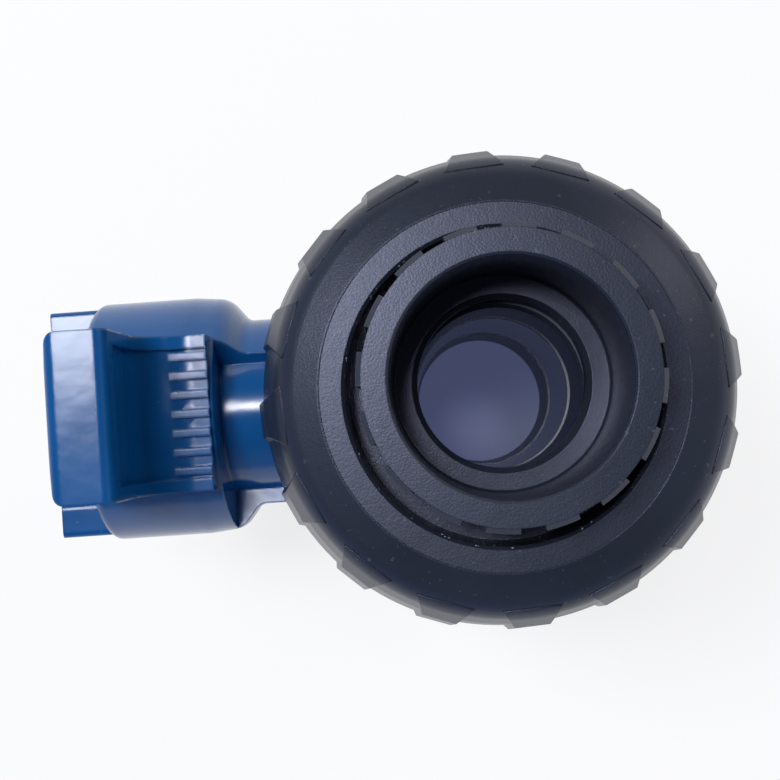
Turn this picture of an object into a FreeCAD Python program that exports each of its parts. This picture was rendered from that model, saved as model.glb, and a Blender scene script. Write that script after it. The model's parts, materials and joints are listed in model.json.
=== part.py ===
"""True-union ball valve, 25 mm bore, with solvent-weld sockets for 32 mm pipe and a T-handle.

The pipe axis is Z and the valve stands on its lower socket: the centre of that socket's
mouth is the origin. The stem points along -X and the lever lies along the pipe, which is
the open position. All lengths are in millimetres and all angles in degrees.
"""
import FreeCAD, Part
import math
import os

Vector = FreeCAD.Vector

# --- clearances -------------------------------------------------------------------------
running_fit = 0.05            # radial, on turning and sliding fits
thread_fit = 0.1              # radial, between threads drawn as plain cylinders
ring_fit = 0.05               # round a seal in its groove
joint_gap = 0.3               # between parts of the union that a seal keeps apart
handle_fit = 0.4              # radial, between the handle's skirt and the body's boss
lug_fit = 0.3                 # round the handle's lugs in the carrier's slots
stem_end_room = 0.5           # over the stem's end, in the handle

# --- ball, seats and stem ---------------------------------------------------------------
flow_bore = 25.0
ball_radius = 20.0
ball_room = 1.0               # radial room round the ball in the body
port_bevel = 0.6
slot_width = 6.1
slot_depth = 4.7
seat_outer_radius = 18.0
seat_face_depth = 2.6         # of the spherical face that the ball turns in
seat_base = 3.4               # behind that face
seal_section = 2.0            # thickness of the small O-rings
stem_radius = 7.0
stem_seal_section = 1.6
stem_seal_cover = 2.5         # from the washer's end of the stem hole to the first groove
stem_seal_spacing = 5.0
tang_length = 12.0
tang_end_room = 0.2
collar_radius = 9.5
collar_thickness = 3.0
collar_lift = 0.6             # the collar's clearance over the ball
washer_thickness = 1.0
stem_square = 9.0
square_length = 18.0

# --- body -------------------------------------------------------------------------------
body_half_length = 34.0
body_wall = 6.5               # round the ball
sleeve_step = 1.8             # from the ball chamber out to the carrier's sleeve bore
thread_step = 2.2             # from the sleeve bore out to the carrier's thread
body_end_wall = 4.0           # from the carrier's thread out to the union thread's root
thread_height = 1.0
thread_length = 10.7          # union thread, back from the body's end
collar_width = 2.8
boss_wall = 4.0
boss_shoulder_rise = 3.0      # the boss's shoulder above the body's barrel
boss_length = 10.0            # the boss above its shoulder
stop_angle = 25.0
stop_height = 5.0

# --- seat carrier -----------------------------------------------------------------------
sleeve_setback = 1.5          # the carrier's end behind its seat's lip
thread_setback = 1.8          # the carrier's thread behind its seat's back
wrench_slot_depth = 4.5

# --- unions -----------------------------------------------------------------------------
pipe_diameter = 32.0
socket_fit = 0.05             # radial, of the pipe in its socket
socket_depth = 22.0
socket_floor = 3.7            # from the socket's bottom to the flange's face
socket_wall = 3.6
socket_chamfer = 0.35
grip_count = 16
grip_height = 0.75
grip_groove_angle = 9.5
grip_groove_length = 12.0
connector_grip_phase = 4.2    # direction of the first groove from +X
flange_thickness = 6.0
flange_room = 1.4             # radial room for the flange inside the nut
slack_offset = 1.0            # the upper connector rests off-centre while its nut is slack
slack_direction = 60.0        # from +X
face_seal_section = 2.6
face_seal_wall = 1.3          # outside the seal's groove, in the carrier's face
nut_length = 27.0
nut_end_wall = 10.5
nut_thread_room = 0.2
nut_front_wall = 3.4
nut_back_wall = 6.6
nut_hole_room = 1.5
nut_face_width = 3.8
nut_shoulder_drop = 8.0
nut_crown_drop = 1.8          # where the gently sloping crown turns over the shoulder
land_count = 16
land_height = 0.7
land_angle = 8.5
land_ramp_angle = 1.1
land_root = 1.5               # the lands' depth below the nut's side
land_phase = 3.5              # direction of the first land from +X

# --- handle -----------------------------------------------------------------------------
skirt_wall = 2.4
stop_recess_depth = 2.6
stop_recess_height = 14.5
stop_recess_end = 36.0        # direction of its far end from +Z
stop_recess_play = 1.0
quarter_turn = 90.0
skirt_lap = 0.5               # between the boss's shoulder and the skirt's edge
bowl_step = 4.6
bowl_start = 10.3             # from the skirt's edge
bowl_height = 9.0
hub_height = 36.5             # from the skirt's edge
hub_rounding = 1.5
lever_half_length = 44.0
lever_width = 25.4
lever_thickness = 9.0
lever_crown = 0.6             # rise of the lever's top across its width
lever_drop = 2.0              # the lever's top below the hub's
lever_rounding = 2.0
flank_step = 0.6              # the lever's root outside the hub
flank_height = 10.5           # from the lever's underside down to the root's foot
underside_radius = 8.0        # from the lever's underside into its root
panel_depth = 0.8
panel_side_rim = 2.2
panel_tip_rim = 4.5
rib_count = 7
rib_thickness = 1.3
rib_pitch = 3.1
lug_height = 9.0
lug_radial = 6.0
lug_width = 7.0
lug_inset = 1.0               # inside the hub's radius
lug_rounding = 1.0

# --- sizes that follow ------------------------------------------------------------------
bore_radius = flow_bore / 2
port_height = math.sqrt(ball_radius ** 2 - bore_radius ** 2)
seat_lip = port_height - seat_face_depth
seat_back = port_height + seat_base
slot_floor = ball_radius - slot_depth
socket_radius = pipe_diameter / 2 + socket_fit
chamber_radius = ball_radius + ball_room
barrel_radius = chamber_radius + body_wall
sleeve_bore = chamber_radius + sleeve_step
carrier_bore = sleeve_bore + thread_step
thread_core = carrier_bore + body_end_wall
thread_crest = thread_core + thread_height
carrier_sleeve_start = seat_lip + sleeve_setback
carrier_thread_start = seat_back + thread_setback
face_seal_radius = carrier_bore - thread_fit - face_seal_wall - face_seal_section / 2

nut_bore = thread_crest + nut_thread_room
flange_radius = nut_bore - flange_room
socket_outer = socket_radius + socket_wall
grip_radius = socket_outer + grip_height
nut_hole = grip_radius + nut_hole_room
nut_rim = nut_hole + nut_face_width
flange_face = body_half_length + joint_gap
flange_back = flange_face + flange_thickness
socket_bottom = flange_face + socket_floor
mouth = socket_bottom + socket_depth
nut_seat = flange_back + joint_gap / 2
nut_face = nut_seat + nut_end_wall
nut_back = nut_face - nut_length
centre_height = mouth

collar_start = ball_radius + collar_lift
washer_start = collar_start + collar_thickness + running_fit
washer_end = washer_start + washer_thickness
stem_hole_start = washer_end + running_fit
boss_shoulder = barrel_radius + boss_shoulder_rise
boss_top = boss_shoulder + boss_length
boss_radius = stem_radius + boss_wall
stem_seal_start = stem_hole_start + stem_seal_cover + stem_seal_section / 2
square_start = boss_top + skirt_lap
stem_top = square_start + square_length

skirt_edge = boss_shoulder + skirt_lap
skirt_bore = boss_radius + handle_fit
recess_floor = skirt_bore + skirt_wall
skirt_radius = recess_floor + stop_recess_depth
hub_radius = skirt_radius + bowl_step
bowl_low = skirt_edge + bowl_start
bowl_high = bowl_low + bowl_height
hub_top = skirt_edge + hub_height
lever_top = hub_top - lever_drop
lever_under = lever_top - lever_thickness
flank = hub_radius + flank_step
flank_foot = lever_under - flank_height
lug_outer = hub_radius - lug_inset
lug_inner = lug_outer - lug_radial


# --- drawing aids -----------------------------------------------------------------------
def outline(corners):
    """Closed wire in the XZ plane through (x, z) corners.

    A third number rounds its corner to that radius, or bevels it by that much if negative.
    """
    count = len(corners)
    points = [Vector(corner[0], 0, corner[1]) for corner in corners]
    starts = []
    ends = []
    turns = []
    for index, corner in enumerate(corners):
        size = corner[2] if len(corner) > 2 else 0
        here = points[index]
        inward = (points[index - 1] - here).normalize()
        onward = (points[(index + 1) % count] - here).normalize()
        half_angle = inward.getAngle(onward) / 2
        setback = max(-size, size / math.tan(half_angle))
        starts.append(here + inward * setback)
        ends.append(here + onward * setback)
        turns.append(None)
        if size > 0:
            bisector = (inward + onward).normalize()
            middle = here + bisector * (size / math.sin(half_angle) - size)
            turns[index] = Part.Arc(starts[index], middle, ends[index]).toShape()
        elif size < 0:
            turns[index] = Part.LineSegment(starts[index], ends[index]).toShape()
    path = []
    for index in range(count):
        if turns[index] is not None:
            path.append(turns[index])
        following = starts[(index + 1) % count]
        if ends[index].distanceToPoint(following) > 1e-6:
            path.append(Part.LineSegment(ends[index], following).toShape())
    return Part.Wire(path)


def turned(corners, start=0, sweep=360):
    """Solid of revolution about Z of an outline, from the start direction."""
    section = Part.Face(outline(corners))
    section.rotate(Vector(0, 0, 0), Vector(0, 0, 1), start)
    return section.revolve(Vector(0, 0, 0), Vector(0, 0, 1), sweep)


def tube(inner, outer, low, high):
    return turned([(inner, low), (outer, low), (outer, high), (inner, high)])


def rod(radius, low, high):
    return Part.makeCylinder(radius, high - low, Vector(0, 0, low))


def block(low_corner, high_corner):
    low = Vector(*low_corner)
    size = Vector(*high_corner) - low
    return Part.makeBox(size.x, size.y, size.z, low)


def plate(corners, width):
    """An XZ outline given this width, half on each side of the plane."""
    face = Part.Face(outline(corners))
    return face.extrude(Vector(0, width, 0)).translated(Vector(0, -width / 2, 0))


def seal_ring(mean_radius, section, height):
    """O-ring about Z at this height, pressed flat where it meets its groove's walls."""
    half = section / 2 - ring_fit
    bevel = half * (2 - math.sqrt(2))
    return turned([
        (mean_radius - half, height - half, -bevel),
        (mean_radius + half, height - half, -bevel),
        (mean_radius + half, height + half, -bevel),
        (mean_radius - half, height + half, -bevel),
    ])


def round_axis(shape, count, phase):
    """Copies of a shape at equal steps round Z."""
    copies = []
    for index in range(count):
        copy = shape.copy()
        copy.rotate(Vector(0, 0, 0), Vector(0, 0, 1), phase + index * 360 / count)
        copies.append(copy)
    return copies


def upper(shape):
    """Drawn from the ball's centre outwards: placed in the upper half of the valve."""
    return shape.translated(Vector(0, 0, centre_height))


def lower(shape):
    """Drawn from the ball's centre outwards: turned over into the lower half."""
    turned_over = shape.copy()
    turned_over.rotate(Vector(0, 0, 0), Vector(1, 0, 0), 180)
    return turned_over.translated(Vector(0, 0, centre_height))


def on_stem(shape):
    """Drawn with Z as the stem axis and X along the pipe: placed with Z along -X."""
    placed = shape.copy()
    placed.rotate(Vector(0, 0, 0), Vector(0, 1, 0), -90)
    return placed.translated(Vector(0, 0, centre_height))


# --- body -------------------------------------------------------------------------------
def body_shell():
    """Outside of the body about the pipe axis, with both thread cores."""
    thread_back = body_half_length - thread_length
    collar_back = thread_back - collar_width
    half = [
        (barrel_radius, collar_back, -2),
        (thread_crest, collar_back, -0.6),
        (thread_crest, thread_back, -0.6),
        (thread_core, thread_back),
        (thread_core, body_half_length - 1),
        (thread_core - 1, body_half_length),
    ]
    mirrored = [(corner[0], -corner[1], *corner[2:]) for corner in reversed(half)]
    return upper(turned([(0, -body_half_length), *mirrored, *half, (0, body_half_length)]))


def body_boss():
    """Stem boss: a broad root that meets the barrel, its shoulder and the slim top."""
    boss_root = skirt_radius
    boss = turned([
        (0, chamber_radius),
        (boss_root, chamber_radius),
        (boss_root, boss_shoulder, -0.5),
        (boss_radius, boss_shoulder),
        (boss_radius, boss_top, -0.6),
        (0, boss_top),
    ])
    stop = turned(
        [
            (recess_floor + joint_gap, boss_shoulder - 1),
            (skirt_radius, boss_shoulder - 1),
            (skirt_radius, skirt_edge + stop_height, -0.4),
            (recess_floor + joint_gap, skirt_edge + stop_height, -0.4),
        ],
        stop_start(),
        stop_angle,
    )
    return on_stem(boss.fuse(stop))


def body_cavity():
    """Everything cut from the body along the pipe, from the fixed seat to the open end."""
    fixed_side = lower(turned([
        (0, 0),
        (chamber_radius, 0),
        (chamber_radius, seat_lip - 1),
        (seat_outer_radius + ring_fit, seat_lip - 1),
        (seat_outer_radius + ring_fit, seat_back + ring_fit),
        (bore_radius, seat_back + ring_fit),
        (bore_radius, body_half_length + 1),
        (0, body_half_length + 1),
    ]))
    carrier_side = upper(turned([
        (0, 0),
        (chamber_radius, 0),
        (chamber_radius, seat_lip - 1),
        (sleeve_bore, seat_lip - 1),
        (sleeve_bore, carrier_thread_start - joint_gap),
        (carrier_bore, carrier_thread_start - joint_gap),
        (carrier_bore, body_half_length + 1),
        (0, body_half_length + 1),
    ]))
    return fixed_side.fuse(carrier_side)


def cushion_groove():
    """Groove behind a seat for its cushion ring."""
    middle = (bore_radius + seat_outer_radius) / 2
    return tube(middle - seal_section / 2, middle + seal_section / 2,
                seat_back, seat_back + seal_section)


def face_groove():
    """Groove in an end face for the seal that the flange presses on."""
    half_width = face_seal_section / 2
    depth = face_seal_section - joint_gap + ring_fit
    return tube(face_seal_radius - half_width, face_seal_radius + half_width,
                body_half_length - depth, body_half_length + 1)


def make_body():
    stem_pocket = on_stem(rod(collar_radius + joint_gap, 0, stem_hole_start))
    stem_hole = on_stem(rod(stem_radius + running_fit, 0, boss_top + 1))
    solid = body_shell().fuse(body_boss())
    grooves = lower(cushion_groove()).fuse(lower(face_groove()))
    solid = solid.cut([body_cavity(), stem_pocket, stem_hole, grooves])
    return solid.removeSplitter()


# --- ball and stem ----------------------------------------------------------------------
def make_ball():
    """Sphere with the flow bore, bevelled at both ports, and the stem's slot."""
    bevel_start = port_height - port_bevel
    wide = bore_radius + ball_radius - bevel_start
    bore = turned([
        (0, -ball_radius),
        (wide, -ball_radius),
        (bore_radius, -bevel_start),
        (bore_radius, bevel_start),
        (wide, ball_radius),
        (0, ball_radius),
    ])
    slot = block((-ball_radius, -ball_radius, -slot_width / 2),
                 (-slot_floor, ball_radius, slot_width / 2))
    return upper(Part.makeSphere(ball_radius).cut([bore, slot]))


def stem_seal_heights():
    return [stem_seal_start, stem_seal_start + stem_seal_spacing]


def make_stem():
    shaft = turned([
        (0, collar_start),
        (collar_radius, collar_start, -0.5),
        (collar_radius, collar_start + collar_thickness, -0.5),
        (stem_radius, collar_start + collar_thickness),
        (stem_radius, square_start, -0.4),
        (0, square_start),
    ])
    grooves = []
    for height in stem_seal_heights():
        grooves.append(tube(
            stem_radius - stem_seal_section, stem_radius + 1,
            height - stem_seal_section / 2, height + stem_seal_section / 2,
        ))
    half_square = stem_square / 2
    square = block((-half_square, -half_square, square_start - 1),
                   (half_square, half_square, stem_top))
    rounding = turned([
        (0, square_start - 1),
        (half_square * 1.3, square_start - 1),
        (half_square * 1.3, stem_top - 1.5),
        (half_square * 1.3 - 1.5, stem_top),
        (0, stem_top),
    ])
    tang = block(
        (-slot_width / 2 + running_fit, -tang_length / 2, slot_floor + tang_end_room),
        (slot_width / 2 - running_fit, tang_length / 2, collar_start + 1),
    )
    stem = shaft.cut(grooves).fuse([square.common(rounding), tang])
    return on_stem(stem.removeSplitter())


def make_thrust_washer():
    return on_stem(tube(stem_radius + 2 * running_fit, collar_radius,
                        washer_start, washer_end))


def make_stem_seal(height):
    """O-ring that fills its groove out to the stem's own radius."""
    return on_stem(seal_ring(stem_radius - stem_seal_section / 2, stem_seal_section, height))


# --- seats and carrier ------------------------------------------------------------------
def seat():
    """PTFE ring with a spherical face that the ball turns in."""
    ring = tube(bore_radius, seat_outer_radius, seat_lip, seat_back)
    return ring.cut(Part.makeSphere(ball_radius + running_fit))


def seat_cushion():
    middle = (bore_radius + seat_outer_radius) / 2
    return seal_ring(middle, seal_section, seat_back + seal_section / 2)


def face_seal():
    depth = face_seal_section - joint_gap + ring_fit
    return seal_ring(face_seal_radius, face_seal_section,
                     body_half_length - depth + face_seal_section / 2)


def carrier_seal_height():
    return (carrier_sleeve_start + carrier_thread_start) / 2


def make_seat_carrier():
    sleeve = sleeve_bore - thread_fit
    threaded = carrier_bore - thread_fit
    ring = turned([
        (bore_radius, carrier_sleeve_start),
        (sleeve, carrier_sleeve_start, -0.4),
        (sleeve, carrier_thread_start),
        (threaded, carrier_thread_start, -0.4),
        (threaded, body_half_length, -0.4),
        (bore_radius, body_half_length, -0.6),
    ])
    seat_recess = rod(seat_outer_radius + ring_fit, 0, seat_back + ring_fit)
    height = carrier_seal_height()
    seal_groove = tube(sleeve - seal_section, sleeve + 1,
                       height - seal_section / 2, height + seal_section / 2)
    grooves = [seal_groove, cushion_groove(), face_groove()]
    return upper(ring.cut([seat_recess, *grooves, *wrench_slots()]))


def wrench_slots():
    """Two pockets in the carrier's face for the handle's lugs."""
    pocket = block(
        (-lug_width / 2 - lug_fit, lug_inner - lug_fit, body_half_length - wrench_slot_depth),
        (lug_width / 2 + lug_fit, lug_outer + lug_fit, body_half_length + 1),
    )
    return round_axis(pocket, 2, 0)


def make_carrier_seal():
    radius = sleeve_bore - thread_fit - seal_section / 2
    return upper(seal_ring(radius, seal_section, carrier_seal_height()))


# --- unions -----------------------------------------------------------------------------
def end_connector():
    """Flanged socket with grip grooves round its outside."""
    outside = turned([
        (0, flange_face),
        (flange_radius, flange_face, -0.5),
        (flange_radius, flange_back, -0.5),
        (grip_radius, flange_back),
        (grip_radius, mouth - grip_height),
        (socket_outer, mouth),
        (0, mouth),
    ])
    inside = turned([
        (0, flange_face - 1),
        (bore_radius, flange_face - 1),
        (bore_radius, socket_bottom - 0.8),
        (bore_radius + 0.8, socket_bottom),
        (socket_radius, socket_bottom, -0.3),
        (socket_radius, mouth - socket_chamfer),
        (socket_radius + socket_chamfer, mouth),
        (socket_radius + socket_chamfer, mouth + 1),
        (0, mouth + 1),
    ])
    groove = turned(
        [
            (socket_outer, mouth - grip_groove_length),
            (grip_radius + 1, mouth - grip_groove_length),
            (grip_radius + 1, mouth + 1),
            (socket_outer, mouth + 1),
        ],
        -grip_groove_angle / 2,
        grip_groove_angle,
    )
    grooves = round_axis(groove, grip_count, connector_grip_phase)
    return outside.cut([inside, *grooves])


def nut_side(height):
    """Radius of the nut's tapered side at this distance from the ball's centre."""
    front = nut_face - nut_shoulder_drop
    share = (front - height) / (front - nut_back)
    return nut_bore + nut_front_wall + share * (nut_back_wall - nut_front_wall)


def nut_ring(rise):
    """The nut without its lands; its side stands this much proud, back from the crown."""
    front = nut_face - nut_shoulder_drop
    crown_edge = (nut_rim + 3 * nut_side(front)) / 4
    return turned([
        (nut_hole, nut_seat),
        (nut_bore, nut_seat, -0.5),
        (nut_bore, nut_back, -1),
        (nut_side(nut_back) + rise, nut_back, 0.8),
        (nut_side(front) + rise, front, 1.5),
        (crown_edge, nut_face - nut_crown_drop, 5),
        (nut_rim, nut_face),
        (nut_hole, nut_face, -0.5),
    ])


def land_wedge():
    """Room for one grip land: a tapered bar with sloping flanks, lofted down the side."""
    sections = []
    for height in (nut_back - 1, nut_face + 1):
        root = nut_side(height) - land_root
        crest = nut_side(height) + land_height
        half_crest = math.radians(land_angle / 2)
        half_root = half_crest + math.radians(land_ramp_angle) * (1 + land_root / land_height)
        corners = []
        for radius, angle in ((root, -half_root), (crest, -half_crest),
                              (crest, half_crest), (root, half_root)):
            corners.append(Vector(radius * math.cos(angle), radius * math.sin(angle), height))
        sections.append(Part.makePolygon([*corners, corners[0]]))
    return Part.makeLoft(sections, True, True)


def union_nut():
    wedges = round_axis(land_wedge(), land_count, land_phase)
    lands = nut_ring(land_height).common(wedges)
    return nut_ring(0).fuse(lands).removeSplitter()


# --- handle -----------------------------------------------------------------------------
def recess_start():
    """The stop recess runs back from here; its far end meets the stop when closed."""
    return stop_recess_end - (stop_angle + quarter_turn + 2 * stop_recess_play)


def stop_start():
    """Where the body's stop lies in the open position, at the recess's first end."""
    return recess_start() + stop_recess_play


def handle_hub():
    """Skirt, bowl and hub, turned about the stem axis."""
    return turned([
        (0, skirt_edge),
        (skirt_radius, skirt_edge, 0.4),
        (skirt_radius, bowl_low, 2),
        (hub_radius - 0.6, bowl_low + bowl_height * 0.35, 4),
        (hub_radius, bowl_high, 3),
        (hub_radius, hub_top, hub_rounding),
        (0, hub_top),
    ])


def lever_profile(depth):
    """Side view of both arms and their root, with the underside this deep in the moulding."""
    root = flank - depth
    under = lever_under + depth
    blend = underside_radius + depth
    return [
        (-root, flank_foot),
        (root, flank_foot),
        (root, under, blend),
        (lever_half_length, under, lever_rounding),
        (lever_half_length, lever_top + lever_crown, lever_rounding),
        (-lever_half_length, lever_top + lever_crown, lever_rounding),
        (-lever_half_length, under, lever_rounding),
        (-root, under, blend),
    ]


def handle_lever():
    """Crossbar along the pipe, crowned across its top, with its root on the hub's flanks."""
    half = lever_width / 2
    left = Vector(0, -half, lever_top)
    right = Vector(0, half, lever_top)
    foot = Vector(0, 0, lever_top - flank_foot + 1)
    crown = Part.Arc(left, Vector(0, 0, lever_top + lever_crown), right).toShape()
    sides = Part.makePolygon([right, right - foot, left - foot, left])
    section = Part.Face(Part.Wire([crown, *sides.Edges]))
    section.translate(Vector(-lever_half_length, 0, 0))
    bar = section.extrude(Vector(2 * lever_half_length, 0, 0))
    long_edges = []
    for edge in bar.Edges:
        if edge.BoundBox.XLength > lever_half_length and edge.BoundBox.ZMin > lever_under:
            long_edges.append(edge)
    return bar.makeFillet(lever_rounding, long_edges).common(
        plate(lever_profile(0), lever_width))


def lever_panels():
    """Shallow recess in each arm's underside that runs down the root to its foot."""
    tip = lever_half_length - panel_tip_rim
    panels = []
    for side in (-1, 1):
        panels.append(plate([
            (side * (flank - panel_depth), flank_foot - 1),
            (side * (flank - panel_depth), lever_under + panel_depth,
             underside_radius + panel_depth),
            (side * tip, lever_under + panel_depth),
            (side * tip, flank_foot - 1),
        ], lever_width - 2 * panel_side_rim))
    return panels


def lever_ribs():
    """Low upright ribs on both roots, from the foot until they sink into the underside."""
    ribs = []
    for index in range(rib_count):
        middle = (index - (rib_count - 1) / 2) * rib_pitch
        ribs.append(block((-flank, middle - rib_thickness / 2, flank_foot),
                          (flank, middle + rib_thickness / 2, lever_under)))
    return ribs


def handle_lugs():
    """Two prongs on top that fit the slots of the seat carrier."""
    lugs = []
    for side in (-1, 1):
        near = min(side * lug_inner, side * lug_outer)
        far = max(side * lug_inner, side * lug_outer)
        lug = block((-lug_width / 2, near, hub_top - 3),
                    (lug_width / 2, far, hub_top + lug_height))
        upright = [edge for edge in lug.Edges if edge.BoundBox.ZLength > lug_height]
        lugs.append(lug.makeFillet(lug_rounding, upright))
    return lugs


def make_handle():
    lever = handle_lever().cut(lever_panels())
    solid = handle_hub().fuse([lever, *lever_ribs(), *handle_lugs()])
    half_square = stem_square / 2 + running_fit
    socket = block((-half_square, -half_square, skirt_edge - 1),
                   (half_square, half_square, stem_top + stem_end_room))
    boss_room = rod(skirt_bore, skirt_edge - 1, square_start)
    recess = turned(
        [
            (recess_floor, skirt_edge - 1),
            (hub_radius + 1, skirt_edge - 1),
            (hub_radius + 1, skirt_edge + stop_recess_height),
            (recess_floor, skirt_edge + stop_recess_height),
        ],
        recess_start(),
        stop_angle + quarter_turn + 2 * stop_recess_play,
    )
    solid = solid.cut([socket, boss_room, recess])
    return on_stem(solid.removeSplitter())


# --- the valve --------------------------------------------------------------------------
def make_parts():
    slack = Vector(
        slack_offset * math.cos(math.radians(slack_direction)),
        slack_offset * math.sin(math.radians(slack_direction)),
        0,
    )
    inner_seal, outer_seal = stem_seal_heights()
    return {
        "body": make_body(),
        "ball": make_ball(),
        "stem": make_stem(),
        "stem_thrust_washer": make_thrust_washer(),
        "stem_o_ring_inner": make_stem_seal(inner_seal),
        "stem_o_ring_outer": make_stem_seal(outer_seal),
        "seat_lower": lower(seat()),
        "seat_upper": upper(seat()),
        "seat_cushion_lower": lower(seat_cushion()),
        "seat_cushion_upper": upper(seat_cushion()),
        "seat_carrier": make_seat_carrier(),
        "carrier_o_ring": make_carrier_seal(),
        "face_o_ring_lower": lower(face_seal()),
        "face_o_ring_upper": upper(face_seal()),
        "end_connector_lower": lower(end_connector()),
        "end_connector_upper": upper(end_connector()).translated(slack),
        "union_nut_lower": lower(union_nut()),
        "union_nut_upper": upper(union_nut()),
        "handle": make_handle(),
    }


def main():
    os.makedirs("parts", exist_ok=True)
    for name, shape in make_parts().items():
        shape.exportStep("parts/" + name + ".step")


main()
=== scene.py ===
"""Finishes, threads, rim beads and studio for the true-union ball valve.

Everything is in metres in the valve's own frame: Z is the pipe axis, the lower socket's
mouth is at zero and the stem points along -X.
"""
import json
import math

import bmesh
import bpy
from mathutils import Matrix, Vector


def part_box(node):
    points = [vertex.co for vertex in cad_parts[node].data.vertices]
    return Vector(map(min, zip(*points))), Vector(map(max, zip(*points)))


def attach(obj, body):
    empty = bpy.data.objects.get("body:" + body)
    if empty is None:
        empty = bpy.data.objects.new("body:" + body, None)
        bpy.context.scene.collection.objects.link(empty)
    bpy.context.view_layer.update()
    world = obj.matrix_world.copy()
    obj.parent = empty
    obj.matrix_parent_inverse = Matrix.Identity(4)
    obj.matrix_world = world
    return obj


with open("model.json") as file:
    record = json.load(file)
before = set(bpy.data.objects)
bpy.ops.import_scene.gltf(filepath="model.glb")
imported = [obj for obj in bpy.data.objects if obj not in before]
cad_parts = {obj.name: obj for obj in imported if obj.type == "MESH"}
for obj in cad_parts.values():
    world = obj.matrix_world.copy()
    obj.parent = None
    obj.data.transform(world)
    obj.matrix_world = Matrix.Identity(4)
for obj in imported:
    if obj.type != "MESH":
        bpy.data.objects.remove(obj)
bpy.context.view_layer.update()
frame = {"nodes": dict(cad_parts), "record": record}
nodes = frame["nodes"]

MM = 0.001

# --- sizes read from the frame ----------------------------------------------------------
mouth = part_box("end_connector_upper")[1].z
centre = mouth / 2
nut_low, nut_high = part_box("union_nut_upper")
nut_face = nut_high.z - centre
nut_back = nut_low.z - centre

# --- thread of both unions --------------------------------------------------------------
thread_pitch = 4 * MM
thread_root = 29.0 * MM       # of the body's thread
thread_height = 1.0 * MM
nut_bore = 30.2 * MM
ridge_foot = 1.9 * MM
ridge_crest = 1.1 * MM
body_ridge_start = 24.2 * MM  # from the ball's centre
body_ridge_length = 8.6 * MM
nut_ridge_setback = 2.2 * MM  # from the nut's back
nut_ridge_length = 7.4 * MM

ridge_overlap = 0.05 * MM     # of a ridge's foot into its wall
ridge_steps = 90              # along each turn

# --- nut's face -------------------------------------------------------------------------
nut_rim = 25.7 * MM
nut_hole = 21.9 * MM
torn_depth = 0.25 * MM        # of the rough skin on the hole's wall
rim_bead = 0.16 * MM
bead_sunk = 0.088 * MM        # of the bead's centre, below the face

# --- table ------------------------------------------------------------------------------
table_half = 3.0
# Painted shade: down the bore, the table's seen colour is painted dusky blue, with a lighter
# painted pool of light off the centre.
painted_shade_radius = 18 * MM         # of what shows down the bore, under the lower socket
painted_pool_radius = 6 * MM
painted_pool_spot = (-0.5 * MM, -6 * MM)
glow_share = 0.8              # of the table's white that the valve's shadow can't dim

# --- camera -----------------------------------------------------------------------------
eye = Vector((-10.4 * MM, -5.0 * MM, mouth + 160 * MM))
eye_roll = math.radians(4)
eye_pan = 0.0332              # slope of the view's axis against the pipe's, to the right
eye_tilt = 0.0308             # and downwards
sensor_width = 36
focal_length = 56.9


# --- node wiring ------------------------------------------------------------------------
class Value:
    """One output socket in a node tree; arithmetic on it adds Math nodes."""

    def __init__(self, wiring, socket):
        self.wiring = wiring
        self.socket = socket

    def maths(self, operation, *operands):
        return self.wiring.node("ShaderNodeMath", {"operation": operation},
                                dict(enumerate(operands)))

    def __add__(self, other):
        return self.maths("ADD", self, other)

    def __radd__(self, other):
        return self.maths("ADD", other, self)

    def __sub__(self, other):
        return self.maths("SUBTRACT", self, other)

    def __rsub__(self, other):
        return self.maths("SUBTRACT", other, self)

    def __mul__(self, other):
        return self.maths("MULTIPLY", self, other)

    def __rmul__(self, other):
        return self.maths("MULTIPLY", other, self)

    def __truediv__(self, other):
        return self.maths("DIVIDE", self, other)

    def __pow__(self, other):
        return self.maths("POWER", self, other)

    def cosine(self):
        return self.maths("COSINE", self)

    def sine(self):
        return self.maths("SINE", self)

    def magnitude(self):
        return self.maths("ABSOLUTE", self)

    def exceeds(self, other):
        """1 where it is greater than the other, else 0."""
        return self.maths("GREATER_THAN", self, other)

    def at_least(self, other):
        return self.maths("MAXIMUM", self, other)

    def at_most(self, other):
        return self.maths("MINIMUM", self, other)

    def above(self, edge, softness):
        """0 below the edge and 1 above it, with a soft step between."""
        return self.wiring.node(
            "ShaderNodeMapRange",
            {"interpolation_type": "SMOOTHSTEP"},
            {"Value": self, "From Min": edge - softness, "From Max": edge + softness},
        )

    def below(self, edge, softness):
        return 1 - self.above(edge, softness)


class Wiring:
    """A node tree under construction, with one method that adds any node."""

    def __init__(self, tree):
        self.tree = tree
        self.tree.nodes.clear()

    def node(self, kind, settings=None, inputs=None, output=0):
        made = self.tree.nodes.new(kind)
        for name, setting in (settings or {}).items():
            setattr(made, name, setting)
        for name, given in (inputs or {}).items():
            self.feed(made.inputs[name], given)
        if made.outputs:
            return Value(self, made.outputs[output])

    def feed(self, socket, given):
        if isinstance(given, Value):
            self.tree.links.new(given.socket, socket)
        else:
            socket.default_value = given

    def split(self, vector):
        """The x, y and z of a vector."""
        parts = self.node("ShaderNodeSeparateXYZ", None, {"Vector": vector})
        return [Value(self, socket) for socket in parts.socket.node.outputs]

    def mix(self, factor, first, second):
        """A colour between two colours."""
        return self.node("ShaderNodeMix", {"data_type": "RGBA"},
                         {"Factor": factor, 6: first, 7: second}, 2)


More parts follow.
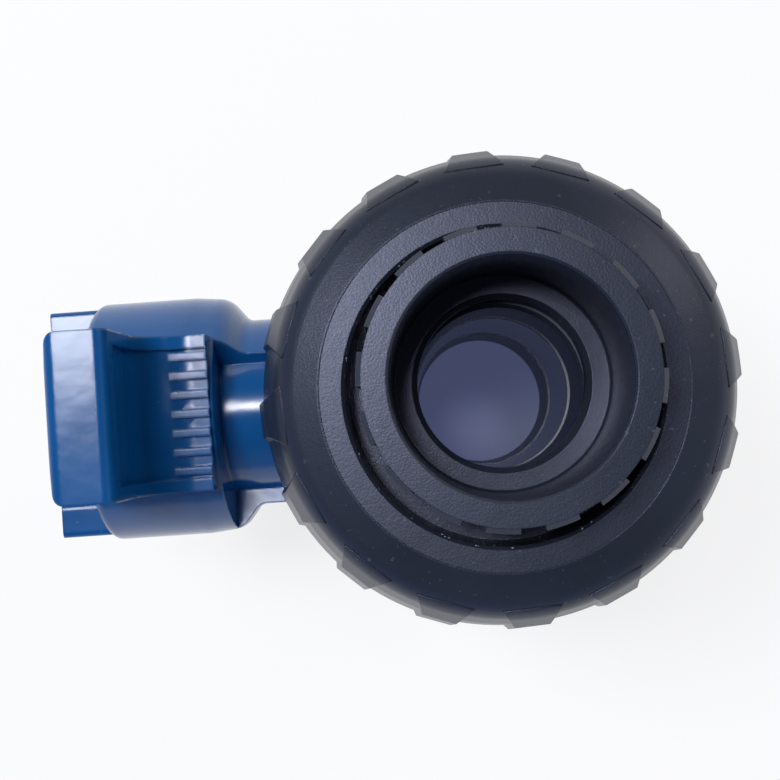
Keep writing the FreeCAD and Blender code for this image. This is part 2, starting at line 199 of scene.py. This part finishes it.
class Finish(Wiring):
    """A material under construction."""

    def __init__(self, name):
        self.material = bpy.data.materials.new(name)
        self.material.use_nodes = True
        super().__init__(self.material.node_tree)

    def place(self):
        """Object coordinates, in metres."""
        return self.node("ShaderNodeTexCoord", output="Object")

    def noise(self, size, detail=2.0, stretch=(1, 1, 1), roughness=0.5):
        """Noise whose blotches are about this many metres across."""
        spot = self.node("ShaderNodeMapping", None,
                         {"Vector": self.place(), "Scale": stretch})
        return self.node("ShaderNodeTexNoise", None, {
            "Vector": spot, "Scale": 1 / size, "Detail": detail, "Roughness": roughness,
        })

    def grit(self, size):
        """Distance from the nearest of many scattered points, 0 at a point."""
        return self.node("ShaderNodeTexVoronoi", {"feature": "F1"},
                         {"Vector": self.place(), "Scale": 1 / size})

    def off_line(self, x, y):
        """Distance from the upright line through this x and y."""
        here_x, here_y = self.split(self.place())[:2]
        along = here_x - x
        across = here_y - y
        return (along * along + across * across) ** 0.5

    def bump(self, height, depth, under=None):
        """Normal from a height of 0 to 1 that stands for this depth in metres."""
        inputs = {"Height": height, "Distance": depth, "Strength": 1.0}
        if under is not None:
            inputs["Normal"] = under
        return self.node("ShaderNodeBump", None, inputs)

    def soft_edges(self, radius):
        return self.node("ShaderNodeBevel", {"samples": 4}, {"Radius": radius})

    def surface(self, **inputs):
        """Ends the material in a Principled shader with these inputs."""
        named = {name.replace("_", " "): given for name, given in inputs.items()}
        shader = self.node("ShaderNodeBsdfPrincipled", None, named)
        self.node("ShaderNodeOutputMaterial", None, {"Surface": shader})
        return self.material


def colour(red, green, blue):
    """Linear colour from display values of 0 to 255."""
    linear = []
    for level in (red, green, blue):
        share = level / 255
        linear.append(share / 12.92 if share <= 0.04045 else ((share + 0.055) / 1.055) ** 2.4)
    return (*linear, 1.0)


# --- finishes ---------------------------------------------------------------------------
def charcoal_plastic(name, gloss, hole_edge=0.0):
    """Moulded charcoal PVC; inside the hole edge the wall is left rough, with raised flakes whose
    pale colour is a painted glint.
    """
    finish = Finish(name)
    cloud = finish.noise(18 * MM, 3).above(0.5, 0.2)
    grain = finish.noise(0.32 * MM, 2)
    peel = finish.noise(2.4 * MM, 2)
    scuff = finish.noise(1.1 * MM, 5, (1, 1, 0.2)).above(0.70, 0.04)
    speck = finish.grit(0.9 * MM).below(0.10, 0.03) * finish.noise(4 * MM).above(0.56, 0.06)
    marks = scuff * 0.35 + speck * 0.5
    height = grain * 0.5 + peel * 0.5
    roughness = gloss + grain * 0.12
    base = finish.mix(cloud, colour(30, 35, 44), colour(38, 43, 54))
    base = finish.mix(marks, base, colour(96, 101, 112))
    if hole_edge:
        torn = finish.off_line(0, 0).below(hole_edge, 0.1 * MM)
        # Torn flakes on the hole's wall: their bump and lower roughness are real, their pale colour
        # is a painted glint.
        flake_and_painted_glint = finish.grit(0.75 * MM).below(0.24, 0.08) * finish.noise(3 * MM).above(0.5, 0.08)
        base = finish.mix(torn * flake_and_painted_glint * 0.85, base, colour(150, 158, 178))
        height = height + torn * flake_and_painted_glint * 3
        roughness = roughness - torn * flake_and_painted_glint * 0.2
    return finish.surface(
        Base_Color=base,
        Roughness=roughness,
        IOR=1.5,
        Specular_Tint=(0.74, 0.77, 1.0, 1.0),
        Normal=finish.bump(height, 0.035 * MM, finish.soft_edges(0.22 * MM)),
    )


def blue_plastic():
    """Glossy blue ABS, with the faint waviness of a moulded skin."""
    finish = Finish("blue_plastic")
    cloud = finish.noise(14 * MM, 2)
    peel = finish.noise(4.0 * MM, 2)
    dust = finish.grit(1.6 * MM).below(0.06, 0.02) * finish.noise(5 * MM).above(0.6, 0.05)
    base = finish.mix(cloud.above(0.5, 0.25), colour(5, 74, 130), colour(8, 82, 142))
    base = finish.mix(dust * 0.5, base, colour(130, 165, 200))
    return finish.surface(
        Base_Color=base,
        Roughness=0.13 + cloud * 0.08 + dust * 0.3,
        IOR=1.5,
        Normal=finish.bump(peel, 0.03 * MM, finish.soft_edges(0.55 * MM)),
    )


def polished_grey():
    finish = Finish("polished_grey_plastic")
    rings = finish.noise(0.5 * MM, 2, (0.05, 1, 1))
    base = finish.mix(finish.noise(8 * MM), colour(60, 64, 72), colour(74, 78, 86))
    return finish.surface(
        Base_Color=base,
        Roughness=0.18 + rings * 0.1,
        Normal=finish.bump(rings, 0.012 * MM),
    )


def turned_ptfe():
    finish = Finish("turned_ptfe")
    turning = finish.noise(0.3 * MM, 2, (0.1, 0.1, 1))
    base = finish.mix(finish.noise(5 * MM), colour(222, 225, 224), colour(238, 239, 236))
    return finish.surface(
        Base_Color=base,
        Roughness=0.35 + turning * 0.15,
        Normal=finish.bump(turning, 0.02 * MM, finish.soft_edges(0.15 * MM)),
    )


def black_rubber():
    finish = Finish("black_rubber")
    grain = finish.noise(0.25 * MM, 3)
    base = finish.mix(grain, colour(19, 19, 20), colour(31, 31, 33))
    return finish.surface(
        Base_Color=base,
        Roughness=0.55 + grain * 0.2,
        Normal=finish.bump(grain, 0.02 * MM, finish.soft_edges(0.4 * MM)),
    )


NUT_PLASTIC = charcoal_plastic("nut_plastic", 0.28, nut_hole + torn_depth)
SOCKET_PLASTIC = charcoal_plastic("socket_plastic", 0.26)
BODY_PLASTIC = charcoal_plastic("body_plastic", 0.32)
BLUE_PLASTIC = blue_plastic()
POLISHED_GREY = polished_grey()
TURNED_PTFE = turned_ptfe()
BLACK_RUBBER = black_rubber()

SLOT_FINISHES = {
    "charcoal_upvc": BODY_PLASTIC,
    "grey_upvc": POLISHED_GREY,
    "ptfe": TURNED_PTFE,
    "epdm": BLACK_RUBBER,
    "blue_abs": BLUE_PLASTIC,
}


def node_finish(node, slot):
    if node.startswith("union_nut"):
        return NUT_PLASTIC
    if node.startswith("end_connector"):
        return SOCKET_PLASTIC
    return SLOT_FINISHES[slot]


def dress_cad_nodes():
    for part in frame["record"]["subparts"]:
        mesh = nodes[part["node"]].data
        mesh.materials.clear()
        mesh.materials.append(node_finish(part["node"], part["material_slot"]))


# --- grown pieces -----------------------------------------------------------------------
class Growth(Wiring):
    """A geometry tree with named sizes, which leaves plain meshes."""

    def __init__(self, name, sizes, finish):
        self.group = bpy.data.node_groups.new(name, "GeometryNodeTree")
        super().__init__(self.group)
        self.finish = finish
        self.group.interface.new_socket("Geometry", in_out="OUTPUT",
                                        socket_type="NodeSocketGeometry")
        for size in sizes:
            self.group.interface.new_socket(size, in_out="INPUT",
                                            socket_type="NodeSocketFloat")
        outputs = self.node("NodeGroupInput").socket.node.outputs
        self.sizes = {size: Value(self, outputs[size]) for size in sizes}

    def end(self, geometry):
        real = self.node("GeometryNodeRealizeInstances", None, {"Geometry": geometry})
        made = self.node("GeometryNodeSetMaterial", None,
                         {"Geometry": real, "Material": self.finish})
        self.node("NodeGroupOutput", None, {"Geometry": made})

    def grow(self, name, body, slot, placement, **sizes):
        """Leaves the grown mesh as a piece that rides on a body."""
        piece = bpy.data.objects.new(name, bpy.data.meshes.new(name + "_seed"))
        bpy.context.scene.collection.objects.link(piece)
        modifier = piece.modifiers.new("growth", "NODES")
        modifier.node_group = self.group
        for socket in self.group.interface.items_tree:
            if socket.in_out == "INPUT":
                modifier[socket.identifier] = sizes[socket.name]
        evaluated = piece.evaluated_get(bpy.context.evaluated_depsgraph_get())
        mesh = bpy.data.meshes.new_from_object(evaluated)
        piece.modifiers.clear()
        piece.data = mesh
        mesh.name = name
        mesh.transform(placement)
        face_outwards(mesh)
        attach(piece, body)
        return piece


def face_outwards(mesh):
    shape = bmesh.new()
    shape.from_mesh(mesh)
    bmesh.ops.remove_doubles(shape, verts=shape.verts, dist=1e-7)
    bmesh.ops.recalc_face_normals(shape, faces=shape.faces)
    for face in shape.faces:
        face.smooth = True
    for edge in shape.edges:
        edge.smooth = edge.calc_face_angle(0) < math.radians(35)
    shape.to_mesh(mesh)
    shape.free()


def at_upper():
    """From the ball's centre to the upper half."""
    return Matrix.Translation((0, 0, centre))


def at_lower():
    """From the ball's centre, turned over into the lower half."""
    return at_upper() @ Matrix.Rotation(math.pi, 4, "X")


def thread_ridge():
    """Helical ridge of trapezoid section that fades out at both ends.

    A negative height makes an inner thread, whose crest points at the axis.
    """
    growth = Growth("thread_ridge",
                    ["radius", "height", "foot", "crest", "start", "length", "pitch", "phase"],
                    BODY_PLASTIC)
    sizes = growth.sizes
    steps = sizes["length"] / sizes["pitch"] * ridge_steps
    line = growth.node("GeometryNodeMeshLine", None, {"Count": steps + 1})
    angle = growth.node("GeometryNodeInputIndex") * (2 * math.pi / ridge_steps)
    turned = angle + sizes["phase"]
    spot = growth.node("ShaderNodeCombineXYZ", None, {
        "X": turned.cosine() * sizes["radius"],
        "Y": turned.sine() * sizes["radius"],
        "Z": angle * sizes["pitch"] / (2 * math.pi) + sizes["start"],
    })
    helix = growth.node("GeometryNodeSetPosition", None, {"Geometry": line, "Position": spot})
    curve = growth.node("GeometryNodeMeshToCurve", None, {"Mesh": helix})
    curve = growth.node("GeometryNodeSetCurveNormal", {"mode": "Z_UP"}, {"Curve": curve})
    along = growth.node("GeometryNodeSplineParameter")
    fade = along.at_most(1 - along) * 12 + 0.05
    curve = growth.node("GeometryNodeSetCurveRadius", None,
                        {"Curve": curve, "Radius": fade.at_most(1.0)})
    height = sizes["height"]
    section = growth.node("GeometryNodeCurvePrimitiveQuadrilateral", {"mode": "TRAPEZOID"}, {
        "Height": height.magnitude(), "Bottom Width": sizes["foot"],
        "Top Width": sizes["crest"], "Offset": 0.0,
    })
    outer = height.exceeds(0.0)
    turn = growth.node("ShaderNodeCombineXYZ", None, {"Z": (0.5 - outer) * math.pi})
    shift = growth.node("ShaderNodeCombineXYZ", None, {"X": height * 0.5})
    section = growth.node("GeometryNodeTransform", None,
                          {"Geometry": section, "Rotation": turn, "Translation": shift})
    ridge = growth.node("GeometryNodeCurveToMesh", None,
                        {"Curve": curve, "Profile Curve": section, "Fill Caps": True})
    growth.end(ridge)
    return growth


def make_threads():
    ridge = thread_ridge()
    section = {"foot": ridge_foot, "crest": ridge_crest, "pitch": thread_pitch}
    for half, placement in (("upper", at_upper()), ("lower", at_lower())):
        ridge.grow(
            "body_thread_" + half, "valve_body", "charcoal_upvc", placement, **section,
            radius=thread_root - ridge_overlap, height=thread_height + ridge_overlap,
            start=body_ridge_start, length=body_ridge_length, phase=0.0,
        )
        start = nut_back + nut_ridge_setback
        lead = (start - body_ridge_start) / thread_pitch
        ridge.grow(
            "nut_thread_" + half, half + "_nut", "charcoal_upvc", placement, **section,
            radius=nut_bore + ridge_overlap, height=-thread_height - ridge_overlap,
            start=start, length=nut_ridge_length, phase=2 * math.pi * (lead + 0.5),
        )


def bead_ring():
    """Fine raised line round the pipe axis, as a mould leaves it."""
    growth = Growth("bead_ring", ["radius", "bead", "height"], NUT_PLASTIC)
    sizes = growth.sizes
    circle = growth.node("GeometryNodeCurvePrimitiveCircle", {"mode": "RADIUS"},
                         {"Resolution": 180, "Radius": sizes["radius"]})
    section = growth.node("GeometryNodeCurvePrimitiveCircle", {"mode": "RADIUS"},
                          {"Resolution": 8, "Radius": sizes["bead"]})
    ring = growth.node("GeometryNodeCurveToMesh", None,
                       {"Curve": circle, "Profile Curve": section})
    lift = growth.node("ShaderNodeCombineXYZ", None, {"Z": sizes["height"]})
    ring = growth.node("GeometryNodeTransform", None, {"Geometry": ring, "Translation": lift})
    growth.end(ring)
    return growth


def make_beads():
    """The line where the nut's crown meets its face, on both nuts."""
    ring = bead_ring()
    for half, placement in (("upper", at_upper()), ("lower", at_lower())):
        ring.grow("nut_rim_bead_" + half, half + "_nut", "charcoal_upvc", placement,
                  radius=nut_rim - rim_bead, bead=rim_bead, height=nut_face - bead_sunk)


# --- studio -----------------------------------------------------------------------------
def make_floor():
    """White table that keeps the valve's soft shadow; seen down the bore it shows a painted dusky
    blue shade with a lighter painted pool of light.
    """
    half = table_half
    corners = [(-half, -half, 0), (half, -half, 0), (half, half, 0), (-half, half, 0)]
    mesh = bpy.data.meshes.new("floor")
    mesh.from_pydata(corners, [], [(0, 1, 2, 3)])
    finish = Finish("studio_floor")
    paper = finish.mix(finish.noise(0.2), colour(250, 250, 251), colour(253, 253, 253))
    # Painted shade and painted pool of light: inside this circle under the bore, the colour that
    # camera and glossy rays see is a dusky blue, lighter in a small off-centre pool.
    painted_pool = finish.off_line(*painted_pool_spot).below(painted_pool_radius, 5 * MM)
    painted_shade = finish.mix(painted_pool, colour(72, 79, 112), colour(94, 100, 136))
    glow = finish.mix(finish.off_line(0, 0).below(painted_shade_radius, 1 * MM), colour(255, 255, 255), painted_shade)
    path = finish.node("ShaderNodeLightPath").socket.node.outputs
    seen = Value(finish, path["Is Camera Ray"])
    seen = seen.at_least(Value(finish, path["Is Glossy Ray"]))
    lit = finish.node("ShaderNodeBsdfPrincipled", None, {"Base Color": paper, "Roughness": 0.9})
    white = finish.node("ShaderNodeEmission", None, {"Color": glow, "Strength": 1.0})
    blend = finish.node("ShaderNodeMixShader", None, {0: seen * glow_share, 1: lit, 2: white})
    finish.node("ShaderNodeOutputMaterial", None, {"Surface": blend})
    mesh.materials.append(finish.material)
    floor = bpy.data.objects.new("floor", mesh)
    bpy.context.scene.collection.objects.link(floor)


def make_lamp(name, direction, distance, side, radiance, tint):
    """Square panel lamp aimed at the valve; its power follows from how bright it looks."""
    light = bpy.data.lights.new(name, "AREA")
    light.size = side
    light.energy = radiance * math.pi * side * side
    light.color = tint
    lamp = bpy.data.objects.new(name, light)
    lamp.location = Vector((0, 0, centre)) + Vector(direction).normalized() * distance
    lamp.rotation_mode = "QUATERNION"
    lamp.rotation_quaternion = Vector(direction).to_track_quat("Z", "Y")
    bpy.context.scene.collection.objects.link(lamp)


def make_world():
    """Pale all round at table height and dim overhead; warmer on the right and behind."""
    world = bpy.data.worlds.new("studio")
    bpy.context.scene.world = world
    world.use_nodes = True
    sky = Wiring(world.node_tree)
    x, y, z = sky.split(sky.node("ShaderNodeTexCoord", output="Generated"))
    horizon = sky.mix((x + y).above(0.0, 1.1), (0.30, 0.40, 0.66, 1), (1.0, 0.98, 0.90, 1))
    tone = sky.mix(z.above(0.42, 0.42), horizon, (0.08, 0.085, 0.12, 1))
    glow = sky.node("ShaderNodeBackground", None, {"Color": tone, "Strength": 1.0})
    sky.node("ShaderNodeOutputWorld", None, {"Surface": glow})


def make_camera():
    """Looks down the pipe from above, a little off its axis, with the stem to the left."""
    right = Vector((math.cos(eye_roll), -math.sin(eye_roll), 0))
    up = Vector((math.sin(eye_roll), math.cos(eye_roll), 0))
    back = (Vector((0, 0, 1)) + eye_pan * right - eye_tilt * up).normalized()
    right = (right - right.dot(back) * back).normalized()
    up = back.cross(right)
    lens = bpy.data.cameras.new("camera")
    lens.sensor_width = sensor_width
    lens.lens = focal_length
    camera = bpy.data.objects.new("camera", lens)
    camera.matrix_world = Matrix((
        (right.x, up.x, back.x, eye.x),
        (right.y, up.y, back.y, eye.y),
        (right.z, up.z, back.z, eye.z),
        (0, 0, 0, 1),
    ))
    bpy.context.scene.collection.objects.link(camera)
    bpy.context.scene.camera = camera


def make_studio():
    make_floor()
    make_world()
    make_lamp("key", (-0.39, 0.23, 1), distance=1.0, side=0.25, radiance=27.0,
              tint=(0.92, 0.94, 1.0))
    make_lamp("overhead", (-0.14, 0.14, 1), distance=1.3, side=0.18, radiance=46.0,
              tint=(0.90, 0.92, 1.0))
    make_lamp("fill", (0.75, 0.45, 0.8), distance=1.1, side=0.35, radiance=3.0,
              tint=(1.0, 0.96, 0.88))
    make_camera()
    bpy.context.scene.view_settings.view_transform = "Standard"


dress_cad_nodes()
make_threads()
make_beads()
make_studio()
